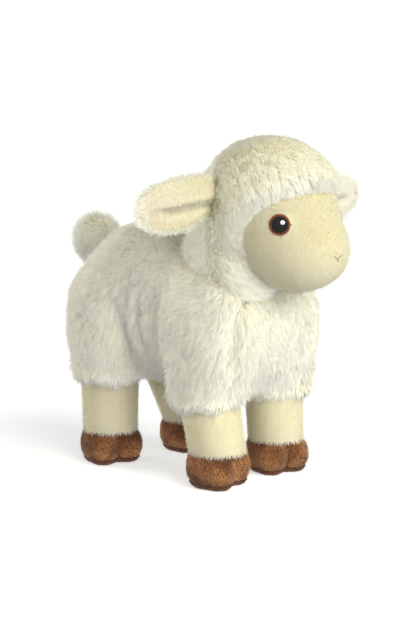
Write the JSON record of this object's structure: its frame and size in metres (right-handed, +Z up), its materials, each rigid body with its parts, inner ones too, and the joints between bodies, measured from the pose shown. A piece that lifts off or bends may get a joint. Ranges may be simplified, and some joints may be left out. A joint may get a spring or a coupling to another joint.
{
  "type": "plush sheep",
  "caption": "Standing plush lamb with a fleece body and hood, short-pile face, ears and shins, velvet hooves and a pompon tail.",
  "frame": {"origin": "on the ground under the middle of the lamb's box", "axes": "+Z up, the lamb looks along -Y, +X to its left side"},
  "size_m": [0.1864, 0.2162, 0.206],
  "materials": {
    "fleece": "long soft pile",
    "short_pile": "short brushed pile",
    "velvet": "brown velvet",
    "stuffing": "loose polyester fibre",
    "black_thread": "satin stitch",
    "red_thread": "satin stitch",
    "white_thread": "satin stitch",
    "brown_thread": "stitched line",
    "grey_thread": "stitched line"
  },
  "bodies": {
    "body": {"chest_panel": "fleece", "belly_panel": "fleece", "side_panel_right": "fleece", "side_panel_left": "fleece", "body_stuffing": "stuffing", "sleeve_front_right": "fleece", "shin_front_right": "short_pile", "hoof_front_right": "velvet", "sole_front_right": "velvet", "sole_stitch_front_right": "brown_thread", "cleft_thread_front_right": "brown_thread", "stuffing_front_right": "stuffing", "sleeve_front_left": "fleece", "shin_front_left": "short_pile", "hoof_front_left": "velvet", "sole_front_left": "velvet", "sole_stitch_front_left": "brown_thread", "cleft_thread_front_left": "brown_thread", "stuffing_front_left": "stuffing", "sleeve_rear_right": "fleece", "shin_rear_right": "short_pile", "hoof_rear_right": "velvet", "sole_rear_right": "velvet", "sole_stitch_rear_right": "brown_thread", "cleft_thread_rear_right": "brown_thread", "stuffing_rear_right": "stuffing", "sleeve_rear_left": "fleece", "shin_rear_left": "short_pile", "hoof_rear_left": "velvet", "sole_rear_left": "velvet", "sole_stitch_rear_left": "brown_thread", "cleft_thread_rear_left": "brown_thread", "stuffing_rear_left": "stuffing"},
    "head": {"hood_front": "fleece", "hood_back": "fleece", "face": "short_pile", "head_stuffing": "stuffing", "eye_ring_right": "red_thread", "eye_pupil_right": "black_thread", "eye_glint_right": "white_thread", "eye_ring_left": "red_thread", "eye_pupil_left": "black_thread", "eye_glint_left": "white_thread", "nose_stitch": "grey_thread"},
    "ear_right": {"ear_back_right": "short_pile", "ear_lining_right": "short_pile"},
    "ear_left": {"ear_back_left": "short_pile", "ear_lining_left": "short_pile"},
    "tail": {"tail_fleece": "fleece", "tail_stuffing": "stuffing"}
  },
  "joints": [
    {"name": "head_turn", "type": "hinge", "parent": "body", "child": "head", "pos_m": [0, -0.0354, 0.1322], "axis": [0, -0.342, 0.9397], "range_deg": [-15, 15], "stiffness_Nm_per_rad": 0.4},
    {"name": "ear_right_flap", "type": "hinge", "parent": "head", "child": "ear_right", "pos_m": [-0.043, -0.0444, 0.168], "axis": [0, 1, 0], "range_deg": [-15, 20], "stiffness_Nm_per_rad": 0.03},
    {"name": "ear_left_flap", "type": "hinge", "parent": "head", "child": "ear_left", "pos_m": [0.043, -0.0444, 0.168], "axis": [0, -1, 0], "range_deg": [-15, 20], "stiffness_Nm_per_rad": 0.03},
    {"name": "tail_wag", "type": "hinge", "parent": "body", "child": "tail", "pos_m": [0, 0.0771, 0.131], "axis": [0, 0, 1], "range_deg": [-12, 12], "stiffness_Nm_per_rad": 0.02}
  ]
}
